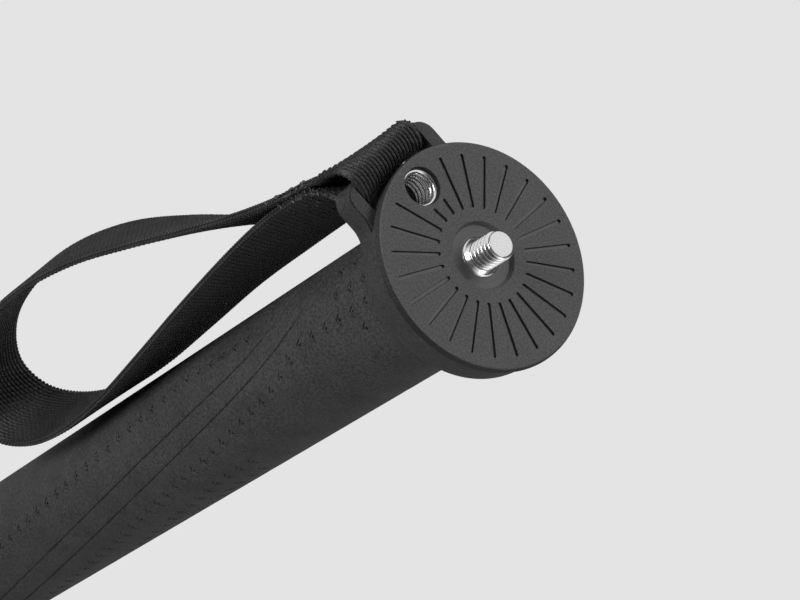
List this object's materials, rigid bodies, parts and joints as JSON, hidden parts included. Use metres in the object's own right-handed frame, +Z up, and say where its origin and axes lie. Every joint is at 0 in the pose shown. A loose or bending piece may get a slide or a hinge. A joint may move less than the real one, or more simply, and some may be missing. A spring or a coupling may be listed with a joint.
{
  "type": "camera monopod",
  "caption": "Telescopic camera monopod with a round padded head, a quarter-inch camera screw, a wrist strap on a side lug, a rubber grip, lever-locked nesting tubes and a rubber foot.",
  "frame": {"origin": "centre of the head's seating face, on the camera screw's axis", "axes": "+Z up along the camera screw, out of the seating face; +X from the screw towards the wrist strap's lug; the tubes run down along -Z"},
  "size_m": [0.0735, 0.047, 0.5673],
  "materials": {
    "pad_rubber": "fine matt texture",
    "turned_aluminium": "turned, satin",
    "plated_steel": "bright zinc",
    "bright_steel": "turned and nickel plated",
    "head_plastic": "moulded, soft sheen",
    "webbing": "black woven nylon",
    "grip_rubber": "moulded, matt, with raised chevrons",
    "black_tube": "black anodised",
    "grey_tube": "grey anodised, satin",
    "guide_plastic": "natural low-friction plastic",
    "lock_plastic": "glass-filled nylon, fine texture",
    "lever_plastic": "glass-filled nylon, slightly smoother",
    "foot_rubber": "matt"
  },
  "bodies": {
    "head": {"top_pad": "pad_rubber", "head_plate": "turned_aluminium", "plate_screws": "plated_steel", "screw_seat": "turned_aluminium", "camera_screw": "bright_steel", "thread_bush": "bright_steel", "head_collar": "head_plastic", "grip_sleeve": "grip_rubber", "tube_1": "black_tube", "lock_collar_1": "lock_plastic", "guide_bush_1": "guide_plastic", "clamp_bolt_1": "plated_steel", "clamp_nut_1": "plated_steel"},
    "section_2": {"tube_2": "grey_tube", "guide_shells_2": "guide_plastic", "lock_collar_2": "lock_plastic", "guide_bush_2": "guide_plastic", "clamp_bolt_2": "plated_steel", "clamp_nut_2": "plated_steel"},
    "section_3": {"tube_3": "grey_tube", "guide_shells_3": "guide_plastic", "lock_collar_3": "lock_plastic", "guide_bush_3": "guide_plastic", "clamp_bolt_3": "plated_steel", "clamp_nut_3": "plated_steel"},
    "section_4": {"tube_4": "grey_tube", "guide_shells_4": "guide_plastic", "foot_plug": "guide_plastic", "rubber_foot": "foot_rubber"},
    "lever_1": {"lock_lever_1": "lever_plastic", "pivot_pin_1": "plated_steel"},
    "lever_2": {"lock_lever_2": "lever_plastic", "pivot_pin_2": "plated_steel"},
    "lever_3": {"lock_lever_3": "lever_plastic", "pivot_pin_3": "plated_steel"},
    "strap": {"wrist_strap": "webbing"}
  },
  "joints": [
    {"name": "section_2_slide", "type": "slide", "parent": "head", "child": "section_2", "axis": [0, 0, -1], "range_m": [0, 0.348]},
    {"name": "section_3_slide", "type": "slide", "parent": "section_2", "child": "section_3", "axis": [0, 0, -1], "range_m": [0, 0.348]},
    {"name": "section_4_slide", "type": "slide", "parent": "section_3", "child": "section_4", "axis": [0, 0, -1], "range_m": [0, 0.348]},
    {"name": "lever_1_flip", "type": "hinge", "parent": "head", "child": "lever_1", "pos_m": [0.0188, 0.0112, -0.4507], "axis": [0, 0, -1], "range_deg": [0, 115]},
    {"name": "lever_2_flip", "type": "hinge", "parent": "section_2", "child": "lever_2", "pos_m": [0.0168, 0.0112, -0.4872], "axis": [0, 0, -1], "range_deg": [0, 115]},
    {"name": "lever_3_flip", "type": "hinge", "parent": "section_3", "child": "lever_3", "pos_m": [0.015, 0.0112, -0.5237], "axis": [0, 0, -1], "range_deg": [0, 115]},
    {"name": "strap_swing", "type": "hinge", "parent": "head", "child": "strap", "pos_m": [0.02615, 0, -0.0054], "axis": [0, -1, 0], "range_deg": [0, 150]}
  ]
}
